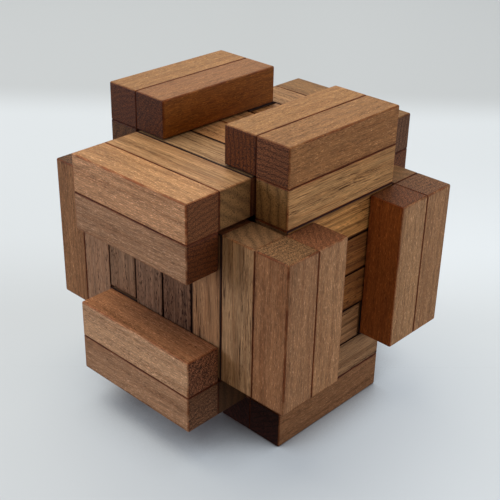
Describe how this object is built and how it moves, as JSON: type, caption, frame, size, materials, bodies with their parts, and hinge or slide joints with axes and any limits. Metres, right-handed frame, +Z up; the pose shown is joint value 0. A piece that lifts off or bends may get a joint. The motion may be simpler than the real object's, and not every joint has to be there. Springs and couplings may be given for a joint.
{
  "type": "wooden burr puzzle",
  "caption": "Cube-shaped interlocking burr puzzle glued up from square hardwood sticks; a key piece slides right out and frees the others in order.",
  "frame": {"origin": "middle of the base, on the surface that the puzzle stands on", "axes": "+X towards the key piece's side, +Y from front to back, +Z up"},
  "size_m": [0.0798, 0.0798, 0.0797],
  "materials": {
    "face_wood": "satin, reddish brown with fine light flecks",
    "shoulder_wood": "satin, olive brown with dark pore lines",
    "rail_wood": "satin, light tan with dark streaks",
    "finger_wood": "satin, greyish brown with dark dashes",
    "tab_wood": "satin, brown"
  },
  "bodies": {
    "base_left": {"base_left_face_pair": "face_wood", "base_left_shoulder": "shoulder_wood", "base_left_rail": "rail_wood", "base_left_fingers": "finger_wood", "base_left_lock_tab": "tab_wood"},
    "key": {"key_face_pair": "face_wood", "key_shoulder": "shoulder_wood", "key_rail": "rail_wood", "key_fingers": "finger_wood", "key_lock_tab": "tab_wood"},
    "top_right": {"top_right_face_pair": "face_wood", "top_right_shoulder": "shoulder_wood", "top_right_rail": "rail_wood", "top_right_fingers": "finger_wood", "top_right_lock_tab": "tab_wood"},
    "front_upper": {"front_upper_face_pair": "face_wood", "front_upper_shoulder": "shoulder_wood", "front_upper_rail": "rail_wood", "front_upper_fingers": "finger_wood", "front_upper_lock_tab": "tab_wood"},
    "right_back": {"right_back_face_pair": "face_wood", "right_back_shoulder": "shoulder_wood", "right_back_fingers": "finger_wood", "right_back_lock_tab": "tab_wood"},
    "top_left": {"top_left_face_pair": "face_wood", "top_left_shoulder": "shoulder_wood", "top_left_fingers": "finger_wood", "top_left_lock_tab": "tab_wood"},
    "front_lower": {"front_lower_face_pair": "face_wood", "front_lower_shoulder": "shoulder_wood", "front_lower_fingers": "finger_wood", "front_lower_lock_tab": "tab_wood"},
    "left_back": {"left_back_face_pair": "face_wood", "left_back_shoulder": "shoulder_wood", "left_back_rail": "rail_wood", "left_back_fingers": "finger_wood", "left_back_lock_tab": "tab_wood"},
    "back_lower": {"back_lower_face_pair": "face_wood", "back_lower_shoulder": "shoulder_wood", "back_lower_rail": "rail_wood", "back_lower_fingers": "finger_wood", "back_lower_lock_tab": "tab_wood"},
    "left_front": {"left_front_face_pair": "face_wood", "left_front_shoulder": "shoulder_wood", "left_front_fingers": "finger_wood", "left_front_lock_tab": "tab_wood"},
    "base_right": {"base_right_face_pair": "face_wood", "base_right_shoulder": "shoulder_wood", "base_right_fingers": "finger_wood", "base_right_lock_tab": "tab_wood"},
    "back_upper": {"back_upper_face_pair": "face_wood", "back_upper_shoulder": "shoulder_wood", "back_upper_fingers": "finger_wood", "back_upper_lock_tab": "tab_wood"}
  },
  "joints": [
    {"name": "key_slide", "type": "slide", "parent": "base_left", "child": "key", "axis": [1, 0, 0], "range_m": [0, 0.04]},
    {"name": "top_right_slide", "type": "slide", "parent": "base_left", "child": "top_right", "axis": [0, 0, 1], "range_m": [0, 0.01]},
    {"name": "front_upper_slide", "type": "slide", "parent": "base_left", "child": "front_upper", "axis": [0, -1, 0], "range_m": [0, 0.01]},
    {"name": "right_back_slide", "type": "slide", "parent": "base_left", "child": "right_back", "axis": [1, 0, 0], "range_m": [0, 0.01]},
    {"name": "top_left_slide", "type": "slide", "parent": "base_left", "child": "top_left", "axis": [0, 0, 1], "range_m": [0, 0.01]},
    {"name": "front_lower_slide", "type": "slide", "parent": "base_left", "child": "front_lower", "axis": [0, -1, 0], "range_m": [0, 0.01]},
    {"name": "left_back_slide", "type": "slide", "parent": "base_left", "child": "left_back", "axis": [-1, 0, 0], "range_m": [0, 0.01]},
    {"name": "back_lower_slide", "type": "slide", "parent": "base_left", "child": "back_lower", "axis": [0, 1, 0], "range_m": [0, 0.01]},
    {"name": "left_front_slide", "type": "slide", "parent": "base_left", "child": "left_front", "axis": [-1, 0, 0], "range_m": [0, 0.01]},
    {"name": "base_right_slide", "type": "slide", "parent": "base_left", "child": "base_right", "axis": [0, 0, -1], "range_m": [0, 0.01]},
    {"name": "back_upper_slide", "type": "slide", "parent": "base_left", "child": "back_upper", "axis": [0, 1, 0], "range_m": [0, 0.01]}
  ]
}
